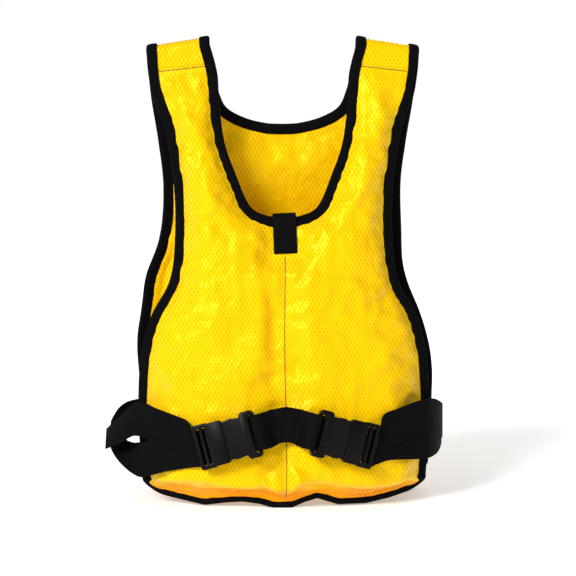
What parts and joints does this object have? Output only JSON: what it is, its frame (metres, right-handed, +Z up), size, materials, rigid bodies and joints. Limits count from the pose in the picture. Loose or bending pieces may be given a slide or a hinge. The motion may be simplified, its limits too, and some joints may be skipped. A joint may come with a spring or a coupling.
{
  "type": "life jacket",
  "caption": "Pull-over foam buoyancy vest with open sides, black edge tape, a webbing belt and two side-release buckles.",
  "frame": {"origin": "middle of the footprint, on the plane that both hems stand on", "axes": "+Z up from the hem to the shoulders; the front panel faces -Y; +X is to the right as seen from the front"},
  "size_m": [0.374, 0.2211, 0.4969],
  "materials": {
    "ripstop": "glossy coated ripstop",
    "edge_tape": "folded woven tape",
    "webbing": "woven webbing",
    "thread": "matte",
    "foam": "closed-cell foam",
    "buckle_plastic": "moulded satin"
  },
  "bodies": {
    "root": {"back_outer_shell": "ripstop", "back_lining": "ripstop", "back_foam": "foam", "back_neck_binding": "edge_tape", "back_armhole_binding_left": "edge_tape", "back_armhole_binding_right": "edge_tape", "back_hem_binding": "edge_tape", "back_belt": "webbing", "belt_keeper_left": "webbing", "side_loop_left": "webbing", "belt_keeper_right": "webbing", "side_loop_right": "webbing", "shoulder_cloth_left": "ripstop", "shoulder_binding_inner_left": "edge_tape", "shoulder_binding_outer_left": "edge_tape", "shoulder_cloth_right": "ripstop", "shoulder_binding_inner_right": "edge_tape", "shoulder_binding_outer_right": "edge_tape"},
    "front": {"front_outer_shell": "ripstop", "front_lining": "ripstop", "front_foam_left": "foam", "front_foam_right": "foam", "front_neck_binding": "edge_tape", "front_armhole_binding_left": "edge_tape", "front_armhole_binding_right": "edge_tape", "front_hem_binding": "edge_tape", "front_stitching": "thread", "neck_tab": "webbing", "buckle_socket_left": "buckle_plastic", "buckle_socket_right": "buckle_plastic", "front_belt": "webbing", "side_strap_left": "webbing", "strap_tail_left": "webbing", "side_strap_right": "webbing", "strap_tail_right": "webbing"},
    "plug_left": {"buckle_plug_left": "buckle_plastic"},
    "plug_right": {"buckle_plug_right": "buckle_plastic"},
    "arm_left_upper": {"release_arm_left_upper": "buckle_plastic"},
    "arm_left_lower": {"release_arm_left_lower": "buckle_plastic"},
    "arm_right_upper": {"release_arm_right_upper": "buckle_plastic"},
    "arm_right_lower": {"release_arm_right_lower": "buckle_plastic"}
  },
  "joints": [
    {"name": "front_fold", "type": "hinge", "parent": "root", "child": "front", "pos_m": [0, 0.00684, 0.49], "axis": [1, 0, 0], "range_deg": [-4, 4], "deforming": ["side_loop_left", "side_loop_right", "shoulder_cloth_left", "shoulder_binding_inner_left", "shoulder_binding_outer_left", "shoulder_cloth_right", "shoulder_binding_inner_right", "shoulder_binding_outer_right"]},
    {"name": "release_left", "type": "slide", "parent": "front", "child": "plug_left", "axis": [-0.9534, 0.1288, -0.2727], "range_m": [0, 0.036], "deforming": ["release_arm_left_upper", "release_arm_left_lower", "side_strap_left", "strap_tail_left"]},
    {"name": "squeeze_left_upper", "type": "hinge", "parent": "plug_left", "child": "arm_left_upper", "pos_m": [-0.07018, -0.0927, 0.0874], "axis": [0.1737, 0.9737, -0.1473], "range_deg": [0, 12], "stiffness_Nm_per_rad": 0.3},
    {"name": "squeeze_left_lower", "type": "hinge", "parent": "plug_left", "child": "arm_left_lower", "pos_m": [-0.06427, -0.0972, 0.06459], "axis": [-0.1737, -0.9737, 0.1473], "range_deg": [0, 12], "stiffness_Nm_per_rad": 0.3},
    {"name": "release_right", "type": "slide", "parent": "front", "child": "plug_right", "axis": [0.9534, 0.1288, -0.2727], "range_m": [0, 0.036], "deforming": ["release_arm_right_upper", "release_arm_right_lower", "side_strap_right", "strap_tail_right"]},
    {"name": "squeeze_right_upper", "type": "hinge", "parent": "plug_right", "child": "arm_right_upper", "pos_m": [0.07018, -0.0927, 0.0874], "axis": [0.1737, -0.9737, 0.1473], "range_deg": [0, 12], "stiffness_Nm_per_rad": 0.3},
    {"name": "squeeze_right_lower", "type": "hinge", "parent": "plug_right", "child": "arm_right_lower", "pos_m": [0.06427, -0.0972, 0.06459], "axis": [-0.1737, 0.9737, -0.1473], "range_deg": [0, 12], "stiffness_Nm_per_rad": 0.3}
  ]
}
